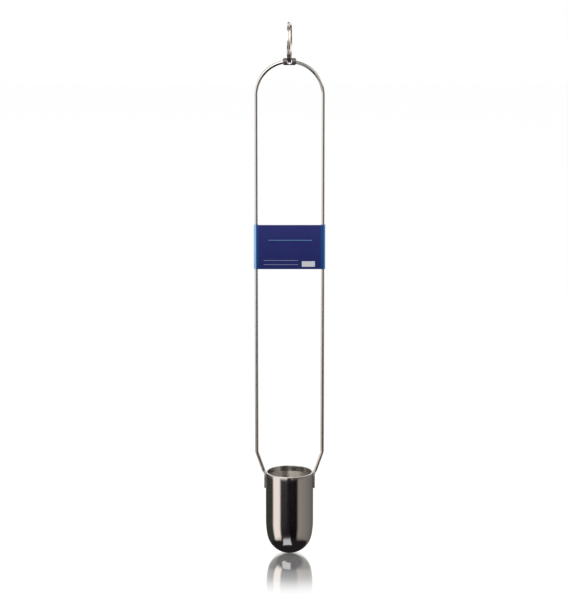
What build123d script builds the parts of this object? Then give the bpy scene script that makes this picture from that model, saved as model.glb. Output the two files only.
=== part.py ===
from build123d import *
from math import asin, atan2, cos, radians, sin, sqrt, tan
import os

# A dip cup for timing the flow of paint and varnish. A bullet-shaped steel cup with a metering hole
# in its bottom hangs from a long wire bow. The bow's two rods meet in a small barrel at the top,
# and a split ring for the finger runs through the barrel. A sheet tag is rolled round both rods.
# Millimetres. The origin is the centre of the metering hole at the cup's outer bottom face.
# +Z is up the handle, X runs from rod to rod and -Y faces the viewer.

# Cup
cup_outer_radius = 17.25
cup_wall = 1.1
cup_height = 61.0
bowl_draw_in = 0.75
bowl_shoulder_height = 24.0
orifice_radius = 1.37
outlet_land_radius = 2.6
rim_bevel = 0.25

# Handle rods
rod_radius = 1.2
rod_spacing = 47.6
handle_reach = 298.2
lower_bend_height = 15.0
lower_bend_radius = 8.0

# Flattened ends that are welded to the cup
tab_thickness = 1.2
tab_width = 3.8
tab_length = 10.5
tab_below_rim = 1.6
tab_corner = 0.45
weld_gap = 0.05
forged_length = 3.0

# Barrel at the top of the bow
eye_length = 9.6
eye_radius = 2.5
eye_end_bevel = 0.9
eye_web = 0.6
eye_countersink = 0.3
braze_gap = 0.04
ring_clearance = 0.12

# Split ring
ring_outer_radius = 14.3
ring_strip_depth = 1.8
ring_strip_width = 1.3
ring_strip_bevel = 0.3
ring_turn_gap = 0.08
ring_jog_angle = 34.0
ring_end_gap_angle = 3.0
ring_jog_position = 35.0

# Tag
tag_height = 32.0
tag_middle_above_rim = 166.1
tag_sheet = 0.5
tag_rod_gap = 0.1
tag_hook_angle = 235.0

# Worked out from the sizes above
cup_inner_radius = cup_outer_radius - cup_wall
bowl_nose_radius = cup_outer_radius - bowl_draw_in
nose_centre_z = sqrt(bowl_nose_radius**2 - outlet_land_radius**2)
shoulder_rise = bowl_shoulder_height - nose_centre_z
shoulder_radius = (shoulder_rise**2 + cup_outer_radius**2 - bowl_nose_radius**2) / (
    2 * (cup_outer_radius - bowl_nose_radius)
)
rod_x = rod_spacing / 2
eye_z = cup_height + handle_reach
loop_centre_z = eye_z - rod_x
lower_bend_z = cup_height + lower_bend_height
tab_top_z = cup_height - tab_below_rim
tab_x = cup_outer_radius + weld_gap + tab_thickness / 2
ring_pitch = ring_strip_width + ring_turn_gap
ring_mid_radius = ring_outer_radius - ring_strip_depth / 2
ring_centre_z = eye_z + ring_mid_radius


def ring_section_reach():
    """Distance from the middle of the doubled strip to its furthest bevelled corner."""
    half_width = ring_pitch / 2 + ring_strip_width / 2
    half_depth = ring_strip_depth / 2
    return max(
        sqrt((half_width - ring_strip_bevel)**2 + half_depth**2),
        sqrt(half_width**2 + (half_depth - ring_strip_bevel)**2),
    )


def eye_hole_radius():
    """The cross hole clears the strip's corners and the ring's curve through the barrel."""
    inner_radius = ring_outer_radius - ring_strip_depth
    curve_rise = inner_radius - sqrt(inner_radius**2 - eye_radius**2)
    return ring_section_reach() + curve_rise + ring_clearance


def cup_profile_points(inset):
    """Points down one skin of the cup, that far inside the outer one: shoulder, nose and its end."""
    nose_radius = bowl_nose_radius - inset
    end_angle = asin((orifice_radius if inset else outlet_land_radius) / nose_radius)
    meeting = atan2(shoulder_rise, shoulder_radius - cup_outer_radius)

    def on_shoulder(angle):
        radius = shoulder_radius - inset
        centre_x = cup_outer_radius - shoulder_radius
        return (centre_x + radius * cos(angle), bowl_shoulder_height - radius * sin(angle))

    def on_nose(angle):
        return (nose_radius * sin(angle), nose_centre_z - nose_radius * cos(angle))

    nose_top = radians(90) - meeting
    return (
        [on_shoulder(0), on_shoulder(meeting / 2), on_shoulder(meeting)],
        [on_shoulder(meeting), on_nose((end_angle + nose_top) / 2), on_nose(end_angle)],
    )


def make_cup_shell():
    """Drawn cup: straight wall, bullet-shaped bottom, faced land and drilled hole, bevelled rim."""
    outer_shoulder, outer_nose = cup_profile_points(0)
    inner_shoulder, inner_nose = cup_profile_points(cup_wall)
    with BuildPart() as cup:
        with BuildSketch(Plane.XZ):
            with BuildLine():
                outer_rim, inner_rim = (cup_outer_radius, cup_height), (cup_inner_radius, cup_height)
                Polyline(outer_shoulder[0], outer_rim, inner_rim, inner_shoulder[0])
                ThreePointArc(*outer_shoulder)
                ThreePointArc(*outer_nose)
                ThreePointArc(*inner_shoulder)
                ThreePointArc(*inner_nose)
                Polyline(outer_nose[2], (orifice_radius, 0), inner_nose[2])
            make_face()
        revolve(axis=Axis.Z)
        rim_edges = cup.edges().filter_by(GeomType.CIRCLE).group_by(Axis.Z)[-1]
        chamfer(rim_edges, min(rim_bevel, 0.4 * cup_wall))
    return cup.part


def rod_path(start_angle):
    """Centre line of the right-hand rod, from inside the barrel down to the forged end."""
    slant = slant_angle()
    slant_end = slant_end_point()
    start = (rod_x * sin(start_angle), loop_centre_z + rod_x * cos(start_angle))
    middle_angle = (start_angle + radians(90)) / 2
    middle = (rod_x * sin(middle_angle), loop_centre_z + rod_x * cos(middle_angle))
    run_in = lower_bend_radius * tan(slant / 2)
    bend_top = (rod_x, lower_bend_z + run_in)
    bend_middle = (
        rod_x - lower_bend_radius * (1 - cos(slant / 2)),
        bend_top[1] - lower_bend_radius * sin(slant / 2),
    )
    bend_bottom = (rod_x - run_in * sin(slant), lower_bend_z - run_in * cos(slant))
    with BuildLine(Plane.XZ) as path:
        ThreePointArc(start, middle, (rod_x, loop_centre_z))
        Line((rod_x, loop_centre_z), bend_top)
        ThreePointArc(bend_top, bend_middle, bend_bottom)
        Line(bend_bottom, slant_end)
    return path.wires()[0]


def slant_angle():
    """Angle from the vertical of the short run between the bend and the tab."""
    return atan2(rod_x - tab_x, lower_bend_z - tab_top_z)


def slant_end_point():
    """Where the round rod ends and the forging to the flat tab begins."""
    slant = slant_angle()
    return (tab_x + forged_length * sin(slant), tab_top_z + forged_length * cos(slant))


def sweep_rod(path, radius):
    """Round bar of the given radius along a path that starts in the barrel."""
    with BuildPart() as bar:
        with BuildSketch(Plane(origin=path @ 0, z_dir=path % 0)):
            Circle(radius)
        sweep(path=path)
    return bar.part


def make_tab():
    """Flat end of the rod, and the forging where it turns from round to flat."""
    slant = slant_angle()
    slant_end = slant_end_point()
    round_plane = Plane(
        origin=(slant_end[0], 0, slant_end[1]), x_dir=(cos(slant), 0, -sin(slant)),
        z_dir=(sin(slant), 0, cos(slant)),
    )
    flat_plane = Plane(origin=(tab_x, 0, tab_top_z - forged_length / 2), z_dir=(0, 0, 1))
    with BuildPart() as tab:
        with BuildSketch(round_plane):
            Circle(rod_radius)
        with BuildSketch(flat_plane):
            RectangleRounded(tab_thickness, tab_width, tab_corner)
        loft()
        with BuildSketch(flat_plane):
            RectangleRounded(tab_thickness, tab_width, tab_corner)
        extrude(amount=-(tab_length - forged_length / 2))
    return tab.part


def rod_start_angle():
    """Angle round the loop at which the rod's end stops short of the cross hole."""
    return asin((eye_hole_radius() + eye_web) / rod_x)


def make_rod():
    """Right-hand rod with its flattened end."""
    return sweep_rod(rod_path(rod_start_angle()), rod_radius) + make_tab()


def make_hanger_eye():
    """Barrel over both rod ends, with a deburred cross hole for the ring."""
    hole_radius = eye_hole_radius()
    with BuildPart() as eye:
        with BuildSketch(Plane(origin=(-eye_length / 2, 0, eye_z), z_dir=(1, 0, 0))):
            Circle(eye_radius)
        extrude(amount=eye_length)
        chamfer(eye.edges().filter_by(GeomType.CIRCLE), eye_end_bevel)
    seat = sweep_rod(rod_path(rod_start_angle()), rod_radius + braze_gap)
    cross_hole = Plane(origin=(0, 0, eye_z), z_dir=(0, 1, 0)) * Cylinder(hole_radius, 3 * eye_radius)
    barrel = eye.part - seat - mirror(seat, about=Plane.YZ) - cross_hole
    mouths = [
        edge for edge in barrel.edges()
        if abs(edge.center().X) < eye_length / 4 and abs(edge.center().Y) > eye_radius / 2
    ]
    return chamfer(mouths, eye_countersink)


def ring_strip(turn_offset):
    """Bevelled section of one turn in the XZ half plane, at its place beside the other turn."""
    with BuildSketch(Plane.XZ) as section:
        with Locations((turn_offset, ring_mid_radius)):
            Rectangle(ring_strip_width, ring_strip_depth)
        chamfer(section.vertices(), ring_strip_bevel)
    return section.sketch


def make_finger_ring():
    """Split ring wound twice from flat strip, with the jog that carries it from turn to turn."""
    turn_sweep = 360 - ring_jog_angle - ring_end_gap_angle
    near_turn = revolve(ring_strip(-ring_pitch / 2), Axis.X, turn_sweep)
    far_turn = revolve(ring_strip(ring_pitch / 2), Axis.X, -turn_sweep)
    steps = 6
    jog_sections = []
    for step in range(steps + 1):
        share = step / steps
        blend = (1 - cos(share * radians(180))) / 2
        offset = -ring_pitch / 2 + blend * ring_pitch
        jog_sections.append(Rot(X=-ring_jog_angle * share) * ring_strip(offset))
    jog = loft(Sketch() + jog_sections)
    ring = near_turn + jog + Rot(X=-ring_jog_angle) * far_turn
    return Pos(0, 0, ring_centre_z) * Rot(X=ring_jog_position) * ring


def make_tag():
    """Blue sheet with both ends rolled round the rods, open at the back."""
    roll_inner = rod_radius + tag_rod_gap
    roll_outer = roll_inner + tag_sheet
    hook = radians(tag_hook_angle)
    bottom_z = cup_height + tag_middle_above_rim - tag_height / 2

    def on_roll(radius, angle):
        return (rod_x + radius * sin(angle), -radius * cos(angle))

    with BuildPart() as tag:
        with BuildSketch(Plane.XY.offset(bottom_z)):
            with BuildLine() as outline:
                Line((0, -roll_outer), (rod_x, -roll_outer))
                ThreePointArc(*[on_roll(roll_outer, hook * share) for share in (0, 0.5, 1)])
                Line(on_roll(roll_outer, hook), on_roll(roll_inner, hook))
                ThreePointArc(*[on_roll(roll_inner, hook * share) for share in (1, 0.5, 0)])
                Line((rod_x, -roll_inner), (0, -roll_inner))
                mirror(outline.line, about=Plane.YZ)
            make_face()
        extrude(amount=tag_height)
    return tag.part


def save(name, shape):
    """One file for each piece, named after it."""
    shape.label = name
    export_step(shape, os.path.join("parts", name + ".step"))


os.makedirs("parts", exist_ok=True)
right_rod = make_rod()
save("cup_shell", make_cup_shell())
save("handle_wire_right", right_rod)
save("handle_wire_left", mirror(right_rod, about=Plane.YZ))
save("hanger_eye", make_hanger_eye())
save("finger_ring", make_finger_ring())
save("tag_plate", make_tag())
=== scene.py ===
from math import asin, atan2, cos, pi, radians, sin, sqrt, tan

import bpy
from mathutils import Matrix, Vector


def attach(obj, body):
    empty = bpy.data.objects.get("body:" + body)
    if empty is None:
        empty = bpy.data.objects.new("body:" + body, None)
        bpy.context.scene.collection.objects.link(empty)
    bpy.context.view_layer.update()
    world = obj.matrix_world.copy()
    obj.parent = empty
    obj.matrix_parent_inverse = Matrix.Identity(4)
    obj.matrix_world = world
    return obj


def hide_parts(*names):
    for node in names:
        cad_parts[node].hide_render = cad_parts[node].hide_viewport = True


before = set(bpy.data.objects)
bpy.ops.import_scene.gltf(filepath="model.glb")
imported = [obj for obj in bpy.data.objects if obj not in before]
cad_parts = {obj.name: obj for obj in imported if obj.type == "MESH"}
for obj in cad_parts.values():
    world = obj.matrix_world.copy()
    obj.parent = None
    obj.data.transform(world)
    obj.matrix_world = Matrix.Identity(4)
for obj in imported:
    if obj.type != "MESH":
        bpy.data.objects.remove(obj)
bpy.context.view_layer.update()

# A dip cup on a long wire bow, with a split ring through the barrel at the top and a blue tag.
# The pieces' lengths are in millimetres, as in the part's source, and turned into metres by MM.
# Lengths in the finishes and the studio are in metres.
MM = 0.001

# Cup
CUP_OUTER = 17.25
CUP_WALL = 1.1
CUP_HEIGHT = 61.0
BOWL_DRAW_IN = 0.75
NOSE_RADIUS = CUP_OUTER - BOWL_DRAW_IN
SHOULDER_Z = 24.0
ORIFICE = 1.37
OUTLET_LAND = 2.6
RIM_ROUNDING = 0.3
EDGE_BREAK = 0.08

# Bow
ROD = 1.2
ROD_X = 23.8
ROD_START_X = 2.44
EYE_Z = 359.2
BEND_Z = 76.0
BEND_RADIUS = 8.0

# Flattened ends of the rods
TAB_THICKNESS = 1.2
TAB_WIDTH = 3.8
TAB_LENGTH = 10.5
TAB_TOP_Z = 59.4
TAB_X = 17.9
TAB_CORNER = 0.45
FORGED_LENGTH = 3.0

# Split ring
RING_OUTER = 14.3
RING_DEPTH = 1.8
RING_WIDTH = 1.3
RING_ROUNDING = 0.42
RING_PITCH = 1.38
RING_JOG = radians(34)
RING_END_GAP = radians(3)
RING_JOG_PLACE = radians(35)
RING_ASKEW = radians(2.4)

# Tag
TAG_HEIGHT = 32.0
TAG_MIDDLE_Z = 227.1
TAG_SHEET = 0.5
TAG_ROLL_INNER = 1.3
TAG_HOOK = radians(235)
TAG_EDGE = 0.12


def mesh_piece(name, rings, material, closed_path=False, sharp_angle=50):
    """A skin over rings of points, capped at both ends unless the rings run round in a circle."""
    points = [tuple(c * MM for c in point) for ring in rings for point in ring]
    size, count = len(rings[0]), len(rings)
    faces = []
    for i in range(count if closed_path else count - 1):
        here, ahead = i * size, (i + 1) % count * size
        for j in range(size):
            k = (j + 1) % size
            faces.append((here + j, here + k, ahead + k, ahead + j))
    if not closed_path:
        faces.append(tuple(reversed(range(size))))
        faces.append(tuple(range((count - 1) * size, count * size)))
    mesh = bpy.data.meshes.new(name)
    mesh.from_pydata(points, [], faces)
    mesh.update()
    mesh.shade_smooth()
    mesh.set_sharp_from_angle(angle=radians(sharp_angle))
    piece = bpy.data.objects.new(name, mesh)
    bpy.context.scene.collection.objects.link(piece)
    piece.data.materials.append(material)
    return piece


def between(start, end, share):
    return start + (end - start) * share


def arc(centre, radius, first, last, steps):
    """Points on a circle from one angle to another."""
    angles = [between(first, last, i / steps) for i in range(steps + 1)]
    return [(centre[0] + radius * cos(angle), centre[1] + radius * sin(angle)) for angle in angles]


def rounded_rectangle(width, depth, radius, steps):
    """Outline of a rectangle with rounded corners, from its lower right corner round."""
    x, y = width / 2 - radius, depth / 2 - radius
    outline = []
    for corner, centre in enumerate(((x, -y), (x, y), (-x, y), (-x, -y))):
        first = (corner - 1) * pi / 2
        outline += arc(centre, radius, first, first + pi / 2, steps)
    return outline


class Value:
    """A number socket that can stand in a sum."""

    def __init__(self, wiring, socket):
        self.wiring, self.socket = wiring, socket

    def math(self, operation, *others):
        return self.wiring.math(operation, self, *others)

    def __add__(self, other):
        return self.math("ADD", other)

    def __sub__(self, other):
        return self.math("SUBTRACT", other)

    def __mul__(self, other):
        return self.math("MULTIPLY", other)

    def __truediv__(self, other):
        return self.math("DIVIDE", other)

    def __radd__(self, other):
        return self.wiring.math("ADD", other, self)

    def __rsub__(self, other):
        return self.wiring.math("SUBTRACT", other, self)

    def __rmul__(self, other):
        return self.wiring.math("MULTIPLY", other, self)

    def __neg__(self):
        return self * -1


class Wiring:
    """The nodes of one material or of the world."""

    def __init__(self, owner):
        owner.use_nodes = True
        self.tree = owner.node_tree
        self.tree.nodes.clear()

    def node(self, kind, settings, sockets, out=0):
        """One node: its settings first, then a value or a link for each named socket."""
        node = self.tree.nodes.new(kind)
        for key, setting in settings.items():
            if key == "stops":
                ramp = node.color_ramp
                while len(ramp.elements) < len(setting):
                    ramp.elements.new(0.5)
                for element, (place, colour) in zip(ramp.elements, setting):
                    element.position = place
                    element.color = (*colour, 1)
            else:
                setattr(node, key, setting)
        for key, value in sockets.items():
            if isinstance(value, Value):
                self.tree.links.new(value.socket, node.inputs[key])
            else:
                node.inputs[key].default_value = value
        return Value(self, node.outputs[out])

    def math(self, operation, *values):
        return self.node("ShaderNodeMath", {"operation": operation}, dict(enumerate(values)))

    def ease(self, value, low, high):
        """0 below low, 1 above high, with a smooth turn between; reversed when low is above high."""
        return self.node(
            "ShaderNodeMapRange", {"interpolation_type": "SMOOTHSTEP"},
            {"Value": value, "From Min": low, "From Max": high},
        )

    def mix(self, share, first, second):
        """Colour between two colours."""
        first, second = (c if isinstance(c, Value) else (*c, 1) for c in (first, second))
        return self.node("ShaderNodeMix", {"data_type": "RGBA"}, {0: share, 6: first, 7: second}, out=2)

    def split(self, vector):
        """The three parts of a vector as numbers."""
        return [self.node("ShaderNodeSeparateXYZ", {}, {0: vector}, out=axis) for axis in "XYZ"]

    def place(self):
        """Where the point lies on the piece, in metres."""
        return self.split(self.node("ShaderNodeTexCoord", {}, {}, out="Object"))

    def noise(self, x, y, z, scale, detail, roughness=0.5):
        vector = self.node("ShaderNodeCombineXYZ", {}, {0: x, 1: y, 2: z})
        return self.node(
            "ShaderNodeTexNoise", {},
            {"Vector": vector, "Scale": scale, "Detail": detail, "Roughness": roughness},
        )

    def light_path(self, answer):
        return self.node("ShaderNodeLightPath", {}, {}, out=answer)

    def close(self, shader, kind="ShaderNodeOutputMaterial"):
        output = self.tree.nodes.new(kind)
        self.tree.links.new(shader.socket, output.inputs["Surface"])

    def metal(self, tone, roughness, relief, strength, depth=0.00002, metallic=1.0, brushed=0.0):
        """Close a finish: colour, roughness and a fine relief; brushed smears it up and down."""
        normal = self.node(
            "ShaderNodeBump", {}, {"Strength": strength, "Distance": depth, "Height": relief}
        )
        self.close(self.node("ShaderNodeBsdfPrincipled", {}, {
            "Base Color": tone, "Metallic": metallic, "Roughness": roughness, "Normal": normal,
            "Anisotropic": brushed, "Anisotropic Rotation": 0.25,
        }))


def finish(name):
    """A new material and its nodes."""
    made = bpy.data.materials.new(name)
    return made, Wiring(made)


def satin_bore():
    """Inside of the cup: turned and left satin, so each point smears what it mirrors up and down."""
    made, w = finish("cup_satin_bore")
    x, y, z = w.place()
    lathe = w.noise(0, 0, z, 9000, 2.0)
    stain = w.noise(x, y, z * 0.5, 120, 4.0, 0.6)
    tone = w.mix(stain, (0.60, 0.575, 0.54), (0.72, 0.69, 0.65))
    w.metal(tone, 0.42 + stain * 0.08, lathe, 0.05, brushed=1.0)
    return made


def turned_steel():
    """Polished outside of the cup: fine lathe lines round it and faint smears."""
    made, w = finish("cup_turned_steel")
    x, y, z = w.place()
    radius = (x * x + y * y).math("SQRT")
    lathe = w.noise(radius * 40, 0, z, 9000, 2.0)
    smear = w.noise(x, y, z * 0.35, 90, 4.0, 0.6)
    tone = w.mix(smear, (0.60, 0.585, 0.57), (0.68, 0.665, 0.65))
    w.metal(tone, 0.065 + lathe * 0.04 + smear * 0.05, lathe, 0.04, brushed=0.4)
    return made


def drawn_rod():
    """Bright drawn stainless wire with faint lines along it, darker and warmer in patches towards the cup.
    """
    made, w = finish("rod_drawn_steel")
    x, y, z = w.place()
    draw = w.noise(x, y, z * 0.02, 2600, 3.0)
    patch = w.noise(x, y, z, 60, 3.0, 0.6)
    # Darker and warmer from 170 mm down to 60 mm above the table, broken up in patches.
    darker_towards_cup = w.ease(z, 0.17, 0.06) * (0.55 + 0.45 * patch)
    tone = w.mix(darker_towards_cup, (0.74, 0.73, 0.72), (0.58, 0.53, 0.48))
    w.metal(tone, 0.13 + draw * 0.10 + darker_towards_cup * 0.06, draw, 0.05)
    return made


def dark_barrel():
    """Barrel darkened by the brazing heat, its ends made lighter as a painted highlight."""
    made, w = finish("barrel_heat_darkened_steel")
    x, y, z = w.place()
    scale_patch = w.noise(x, y, z, 700, 5.0, 0.65)
    # Painted highlight: lighter towards both ends of the barrel.
    painted_end_highlight = w.ease(x.math("ABSOLUTE"), 0.0036, 0.0044)
    tone = w.mix(painted_end_highlight * 0.5 + scale_patch * 0.4, (0.16, 0.145, 0.17), (0.42, 0.40, 0.42))
    w.metal(tone, 0.30 + scale_patch * 0.2, scale_patch, 0.15, depth=0.00003)
    return made


def nickel_ring():
    """Warm bright nickel, worn duller by the finger."""
    made, w = finish("ring_bright_nickel")
    x, y, z = w.place()
    rub = w.noise(x, y, z, 260, 4.0, 0.6)
    scratch = w.noise(x * 6, y, z, 1500, 2.0)
    tone = w.mix(rub, (0.76, 0.71, 0.65), (0.86, 0.81, 0.75))
    w.metal(tone, 0.09 + rub * 0.08 + scratch * 0.05, scratch, 0.06)
    return made


def blue_tag():
    """Blue anodised sheet: navy field, bluer towards the rolls as a painted reflection and pale on the
    rolls as a painted highlight; on the front a pale rule, two writing lines and a bare white panel."""
    made, w = finish("tag_blue_anodised")
    x, y, z = w.place()
    up = z - TAG_MIDDLE_Z * MM
    front = w.ease(y, -0.00150, -0.00170)

    def bar(left, right, low, high, soft=0.00008):
        """Mask of a printed rectangle on the front, in metres from the tag's middle."""
        across = w.ease(x, left - soft, left + soft) * w.ease(x, right + soft, right - soft)
        return across * w.ease(up, low - soft, low + soft) * w.ease(up, high + soft, high - soft) * front

    grain = w.noise(x * 0.06, y, z, 2200, 3.0)
    cloud = w.noise(x, y, z, 120, 3.0, 0.6)
    # Painted reflection: bluer where the sheet starts to curve round the rods.
    painted_curve_reflection = w.ease(x.math("ABSOLUTE"), 0.0212, 0.0236)
    # Painted highlight: pale on the rolls, at full strength on the left one and half on the right one.
    painted_roll_highlight = w.ease(x, -0.0236, -0.0243) + 0.5 * w.ease(x, 0.0242, 0.0252)
    rule = bar(-0.0150, 0.0160, 0.0048, 0.0052)
    lines = bar(-0.0185, 0.0060, -0.0098, -0.0095) + bar(-0.0185, 0.0060, -0.0128, -0.0125)
    panel = bar(0.0088, 0.0182, -0.0142, -0.0102)
    tone = w.mix(cloud, (0.014, 0.020, 0.165), (0.020, 0.030, 0.200))
    tone = w.mix(painted_curve_reflection, tone, (0.004, 0.080, 0.320))
    tone = w.mix(painted_roll_highlight, tone, (0.36, 0.62, 0.95))
    tone = w.mix(rule * 0.75, tone, (0.22, 0.50, 0.78))
    tone = w.mix(lines * 0.7, tone, (0.55, 0.62, 0.78))
    tone = w.mix(panel, tone, (0.72, 0.74, 0.78))
    w.metal(tone, 0.34 + grain * 0.10 + cloud * 0.04, grain, 0.05, metallic=0.25 * (1 - panel))
    return made


def make_cup():
    """Cup turned from its outline: straight wall, bullet-shaped bottom, land, hole, rounded rim."""
    nose_steps, shoulder_steps, wall_steps, rim_steps, segments = 60, 12, 10, 6, 192
    nose_z = sqrt(NOSE_RADIUS**2 - OUTLET_LAND**2)
    rise = SHOULDER_Z - nose_z
    shoulder = (rise**2 + CUP_OUTER**2 - NOSE_RADIUS**2) / (2 * (CUP_OUTER - NOSE_RADIUS))
    meeting = atan2(rise, shoulder - CUP_OUTER)
    shoulder_centre = (CUP_OUTER - shoulder, SHOULDER_Z)
    wall_top = CUP_HEIGHT - RIM_ROUNDING
    break_angle = 0.005

    def skin(inset, end_radius):
        """Outline of one skin from its bottom end up to the rim's rounding."""
        nose = NOSE_RADIUS - inset
        first = -pi / 2 + asin(end_radius / nose) + break_angle
        points = arc((0, nose_z), nose, first, -meeting, nose_steps)
        points += arc(shoulder_centre, shoulder - inset, -meeting, 0, shoulder_steps)[1:]
        points += [
            (CUP_OUTER - inset, between(SHOULDER_Z, wall_top, i / wall_steps)) for i in range(1, wall_steps)
        ]
        return points

    outer, inner = skin(0, OUTLET_LAND), skin(CUP_WALL, ORIFICE)
    hole_top = nose_z - sqrt((NOSE_RADIUS - CUP_WALL)**2 - ORIFICE**2)
    outline = [(ORIFICE + EDGE_BREAK, 0), (OUTLET_LAND - EDGE_BREAK, 0)] + outer
    outline += arc((CUP_OUTER - RIM_ROUNDING, wall_top), RIM_ROUNDING, 0, pi / 2, rim_steps)
    outline += arc((CUP_OUTER - CUP_WALL + RIM_ROUNDING, wall_top), RIM_ROUNDING, pi / 2, pi, rim_steps)
    first_inside = len(outline)
    outline += inner[::-1] + [(ORIFICE, hole_top - EDGE_BREAK), (ORIFICE, EDGE_BREAK)]
    turns = [2 * pi * i / segments for i in range(segments)]
    rings = [[(r * cos(turn), r * sin(turn), z) for r, z in outline] for turn in turns]
    cup = mesh_piece("cup_turned_shell", rings, turned_steel(), closed_path=True, sharp_angle=35)
    cup.data.materials.append(satin_bore())
    for face in cup.data.polygons:
        if face.index % len(outline) >= first_inside:
            face.material_index = 1
    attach(cup, "cup_and_handle")
    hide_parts("cup_shell")


def rod_line():
    """Stations down the right-hand rod: X, Z, heading in that plane and share of the flat section."""
    loop_steps, leg_steps, bend_steps, slant_steps, forge_steps, flat_steps = 48, 40, 8, 8, 10, 6
    slant = atan2(ROD_X - TAB_X, BEND_Z - TAB_TOP_Z)
    start = asin(ROD_START_X / ROD_X)
    loop_z = EYE_Z - ROD_X
    bend_top = BEND_Z + BEND_RADIUS * tan(slant / 2)
    round_end_x, round_end_z = TAB_X + FORGED_LENGTH * sin(slant), TAB_TOP_Z + FORGED_LENGTH * cos(slant)
    flat_z = TAB_TOP_Z - FORGED_LENGTH / 2
    bottom_z = TAB_TOP_Z - TAB_LENGTH

    stations = []
    for i in range(loop_steps + 1):
        angle = between(start, pi / 2, i / loop_steps)
        stations.append((ROD_X * sin(angle), loop_z + ROD_X * cos(angle), angle + pi / 2, 0.0))
    for i in range(1, leg_steps):
        stations.append((ROD_X, between(loop_z, bend_top, i / leg_steps), pi, 0.0))
    for i in range(bend_steps + 1):
        turn = slant * i / bend_steps
        x, z = ROD_X - BEND_RADIUS * (1 - cos(turn)), bend_top - BEND_RADIUS * sin(turn)
        stations.append((x, z, pi + turn, 0.0))
    bend_x, bend_z = x, z
    for i in range(1, slant_steps + 1):
        share = i / slant_steps
        x, z = between(bend_x, round_end_x, share), between(bend_z, round_end_z, share)
        stations.append((x, z, pi + slant, 0.0))
    for i in range(1, forge_steps + 1):
        share = i / forge_steps
        x, z = TAB_X + (round_end_x - TAB_X) * (1 - share)**2, between(round_end_z, flat_z, share)
        stations.append((x, z, pi + slant * (1 - share), share * share * (3 - 2 * share)))
    for i in range(1, flat_steps + 1):
        stations.append((TAB_X, between(flat_z, bottom_z, i / flat_steps), pi, 1.0))
    return stations


def rod_rings(side):
    """Rings of points round one rod; side is 1 for the right-hand rod and -1 for the left-hand one."""
    flat = rounded_rectangle(TAB_THICKNESS, TAB_WIDTH, TAB_CORNER, steps=7)
    turns = [2 * pi * (i + 0.5) / len(flat) - pi / 4 for i in range(len(flat))]
    rings = []
    for x, z, heading, share in rod_line():
        ring = []
        for (flat_u, flat_v), turn in zip(flat, turns):
            u, v = between(ROD * cos(turn), flat_u, share), between(ROD * sin(turn), flat_v, share)
            ring.append((side * (x + u * cos(heading)), v, z - u * sin(heading)))
        rings.append(ring if side > 0 else ring[::-1])
    return rings


def make_rods():
    """Both rods of the bow; the left-hand one is the mirror image of the right-hand one."""
    steel = drawn_rod()
    right = (1, "handle_rod_right", "handle_wire_right")
    left = (-1, "handle_rod_left", "handle_wire_left")
    for side, name, node in (right, left):
        rod = mesh_piece(name, rod_rings(side), steel)
        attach(rod, "cup_and_handle")
        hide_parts(node)


def make_ring():
    """Two turns of strip with the jog between them, hung a little askew in the barrel."""
    turn_steps, jog_steps = 120, 16
    section = rounded_rectangle(RING_WIDTH, RING_DEPTH, RING_ROUNDING, steps=6)
    middle = RING_OUTER - RING_DEPTH / 2
    centre_z = EYE_Z + middle
    one_turn = 2 * pi - RING_JOG - RING_END_GAP
    near = -RING_PITCH / 2
    stations = [(one_turn * (1 - i / turn_steps), near) for i in range(turn_steps)]
    stations += [(-RING_JOG * i / jog_steps, near * cos(pi * i / jog_steps)) for i in range(jog_steps + 1)]
    stations += [(-RING_JOG - one_turn * i / turn_steps, -near) for i in range(1, turn_steps + 1)]
    rings = []
    for angle, offset in stations:
        turn = angle + RING_JOG_PLACE
        ring = []
        for u, v in section:
            x, y = offset + u, -(middle + v) * sin(turn)
            askew_x = x * cos(RING_ASKEW) + y * sin(RING_ASKEW)
            askew_y = y * cos(RING_ASKEW) - x * sin(RING_ASKEW)
            ring.append((askew_x, askew_y, centre_z + (middle + v) * cos(turn)))
        rings.append(ring)
    ring = mesh_piece("finger_split_ring", rings, nickel_ring())
    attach(ring, "ring")
    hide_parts("finger_ring")


def make_tag():
    """Sheet rolled round both rods, its edges broken."""
    steps = 24
    roll = TAG_ROLL_INNER + TAG_SHEET / 2
    right = []
    for i in range(steps + 1):
        angle = TAG_HOOK * i / steps
        right.append((ROD_X + roll * sin(angle), -roll * cos(angle), sin(angle), -cos(angle)))
    left = [(-x, y, -out_x, out_y) for x, y, out_x, out_y in reversed(right)]
    field = [(between(-ROD_X, ROD_X, i / steps), -roll, 0, -1) for i in range(1, steps)]
    section = rounded_rectangle(TAG_SHEET, TAG_HEIGHT, TAG_EDGE, steps=4)
    rings = [
        [(x + out_x * u, y + out_y * u, TAG_MIDDLE_Z + v) for u, v in section]
        for x, y, out_x, out_y in left + field + right
    ]
    tag = mesh_piece("blue_rolled_tag", rings, blue_tag())
    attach(tag, "cup_and_handle")
    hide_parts("tag_plate")


def dress_barrel():
    """The barrel keeps its own mesh and gets its heat-darkened finish."""
    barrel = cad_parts["hanger_eye"]
    barrel.data.materials.clear()
    barrel.data.materials.append(dark_barrel())


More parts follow.
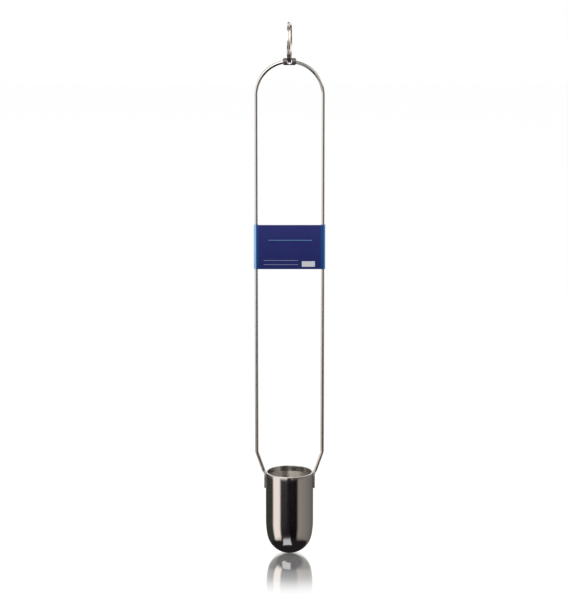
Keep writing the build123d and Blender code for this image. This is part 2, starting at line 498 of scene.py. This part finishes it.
def studio_floor():
    """Glossy white table top: it mirrors the cup near its foot and keeps a soft shadow."""
    reach, mirror_reach = 4.0, 0.12
    made, w = finish("studio_table_top")
    x, y, _ = w.place()
    distance = (x * x + y * y).math("SQRT")
    fade = [
        (0.0, 0.86), (0.33, 0.86), (0.38, 0.75), (0.51, 0.62), (0.57, 0.50), (0.63, 0.35), (0.69, 0.22),
        (0.75, 0.12), (0.88, 0.0),
    ]
    stops = [(place, (share, share, share)) for place, share in fade]
    mirror = w.node("ShaderNodeValToRGB", {"stops": stops}, {0: distance / mirror_reach})
    grazing = w.ease(w.node("ShaderNodeLayerWeight", {}, {}, out="Facing"), 0.50, 0.68)
    strength = w.light_path("Is Camera Ray") * 1.3
    glow = w.node("ShaderNodeEmission", {}, {"Color": (1, 1, 1, 1), "Strength": strength})
    plain = w.node("ShaderNodeBsdfDiffuse", {}, {"Color": (0.86, 0.86, 0.86, 1)})
    matt = w.node("ShaderNodeMixShader", {}, {0: 0.5, 1: glow, 2: plain})
    gloss = w.node("ShaderNodeBsdfGlossy", {}, {"Color": (1, 1, 1, 1), "Roughness": 0.03})
    w.close(w.node("ShaderNodeMixShader", {}, {0: mirror * grazing, 1: matt, 2: gloss}))
    mesh = bpy.data.meshes.new("studio_floor")
    corners = [(-reach, -reach, 0), (reach, -reach, 0), (reach, reach, 0), (-reach, reach, 0)]
    mesh.from_pydata(corners, [], [(0, 1, 2, 3)])
    mesh.update()
    floor = bpy.data.objects.new("studio_floor", mesh)
    bpy.context.scene.collection.objects.link(floor)
    floor.data.materials.append(made)
    floor.visible_glossy = False


def studio_world():
    """White behind, and for what the steel mirrors a dark room with a tall soft light on the left."""
    world = bpy.data.worlds.new("studio_room")
    bpy.context.scene.world = world
    w = Wiring(world)
    x, y, z = w.split(w.node("ShaderNodeTexCoord", {}, {}, out="Generated"))
    around = x.math("ARCTAN2", -y) / (2 * pi) + 0.5
    height = z.math("ARCSINE") * (180 / pi)

    def band(stops):
        """Colours by the angle round the cup: 0 faces the cup's front and -90 its left."""
        stops = [((degrees + 180) / 360, colour) for degrees, colour in stops]
        return w.node("ShaderNodeValToRGB", {"stops": stops}, {0: around})

    def window(sideways, left, right, top, bottom):
        """Mask in front of the cup, between two sideways shares and two heights in degrees."""
        across = w.ease(sideways, left, left + 0.05) * w.ease(sideways, right + 0.05, right)
        along = w.ease(height, top, top - 3) * w.ease(height, bottom, bottom + 3)
        return across * along * w.ease(y, 0.0, -0.1)

    # The tall light, the dark middle of the room and its grey right wall.
    white, cream = (1.1, 1.08, 1.05), (1.24, 1.12, 1.06)
    room = [
        (-82, cream), (-51, cream), (-42, (0.036, 0.032, 0.032)), (-6, (0.018, 0.014, 0.018)),
        (6, (0.005, 0.004, 0.005)), (35, (0.006, 0.005, 0.006)), (47, (0.38, 0.33, 0.30)),
        (92, (0.28, 0.26, 0.24)),
    ]
    dark, dim, grey = (0.05, 0.05, 0.045), (0.15, 0.15, 0.15), (0.3, 0.3, 0.3)
    dark_room = band(
        [(-180, dark), (-92, dark)] + room + [(138, (0.18, 0.17, 0.16)), (180, (0.12, 0.12, 0.12))]
    )
    far_room = band(
        [(-180, white), (-160, white), (-145, grey), (-92, dim)] + room
        + [(145, grey), (160, white), (180, white)]
    )

    # Near the horizon, which the rods mirror higher up, the left half is bright.
    bright_sides = band([
        (-180, white), (-40, (1.15, 1.1, 1.08)), (4, (0.95, 0.92, 0.90)), (16, (0.20, 0.18, 0.17)),
        (60, (0.12, 0.105, 0.10)), (100, (0.30, 0.28, 0.27)), (130, (0.95, 0.95, 0.95)), (180, white),
    ])

    # Overhead, two lamps with a seam between them, a dark gap, and light on the right wall's top.
    lamp, lamp_end, seam = (2.60, 2.47, 2.28), (2.50, 2.37, 2.20), (0.60, 0.56, 0.51)
    left_gap, gap, right_gap = (0.08, 0.07, 0.06), (0.03, 0.026, 0.023), (0.04, 0.034, 0.03)
    overhead = band([
        (-180, white), (-165, white), (-150, left_gap), (-82, left_gap), (-72, lamp_end), (-41, lamp),
        (-35, seam), (-29, lamp), (4, lamp_end), (12, gap), (38, gap), (46, (0.85, 0.78, 0.70)),
        (97, (0.75, 0.69, 0.62)), (106, right_gap), (150, right_gap), (165, white), (180, white),
    ])

    # Below, the table's shadow with a bright square in front of the cup. What is seen over two mirrors,
    # inside the cup or by way of the table top, is the far room instead of the dark one.
    shadow, square, stand = (0.020, 0.017, 0.019), (0.74, 0.72, 0.76), (0.045, 0.040, 0.036)
    sides = w.mix(w.ease(height, -12.0, -9.0), dark_room, bright_sides)
    sides = w.mix(w.ease(height, 9.0, 12.0), sides, white)
    sides = w.mix(window(x, -0.21, 0.12, 12.0, -14.0), sides, stand)
    below = w.mix(w.ease(height, -31.0, -40.0), sides, shadow)
    direct = w.mix(window(x + 0.0029 * height, -0.60, -0.05, -34.0, -65.0), below, square)
    twice = w.mix(w.ease(height, -22.0, -45.0), far_room, shadow)
    twice = w.mix(window(x, -0.58, 0.06, -34.0, -72.0), twice, square)
    lower = w.mix(w.light_path("Glossy Depth").math("GREATER_THAN", 1.5), direct, twice)
    upper = w.mix(w.ease(height, 18.0, 30.0), lower, overhead)
    mirrored = w.mix(w.ease(height, 62.0, 78.0), upper, (0.28, 0.25, 0.23))
    ambient, backdrop = (0.78, 0.78, 0.78), (1.0, 1.0, 1.0)
    colour = w.mix(w.light_path("Is Glossy Ray"), ambient, mirrored)
    colour = w.mix(w.light_path("Is Camera Ray"), colour, backdrop)
    background = w.node("ShaderNodeBackground", {}, {"Color": colour, "Strength": 1.0})
    w.close(background, "ShaderNodeOutputWorld")


def studio_lamp():
    """One large soft light from the upper left front, turned to the middle of the part."""
    data = bpy.data.lights.new("studio_soft_light", "AREA")
    data.shape = "SQUARE"
    data.size = 1.4
    data.energy = 18.0
    lamp = bpy.data.objects.new("studio_soft_light", data)
    lamp.location = (-1.3, -1.4, 1.9)
    aim = Vector((0, 0, 0.19))
    lamp.rotation_euler = (aim - lamp.location).to_track_quat("-Z", "Y").to_euler()
    lamp.visible_glossy = False
    bpy.context.scene.collection.objects.link(lamp)


def photographer():
    """Camera 1.5 m in front, above the ring, looking down at the middle of the part."""
    picture_height = 600
    data = bpy.data.cameras.new("camera")
    data.sensor_width = 36
    data.lens = 127.4
    data.shift_x = -5.5 / picture_height
    data.shift_y = -2.5 / picture_height
    data.clip_start = 0.05
    camera = bpy.data.objects.new("camera", data)
    camera.location = (0, -1.5, 0.4725)
    camera.rotation_euler = (radians(90 - 10.66), 0, 0)
    bpy.context.scene.collection.objects.link(camera)
    bpy.context.scene.camera = camera


make_cup()
make_rods()
make_ring()
make_tag()
dress_barrel()
studio_floor()
studio_world()
studio_lamp()
photographer()
bpy.context.scene.view_settings.view_transform = "Standard"
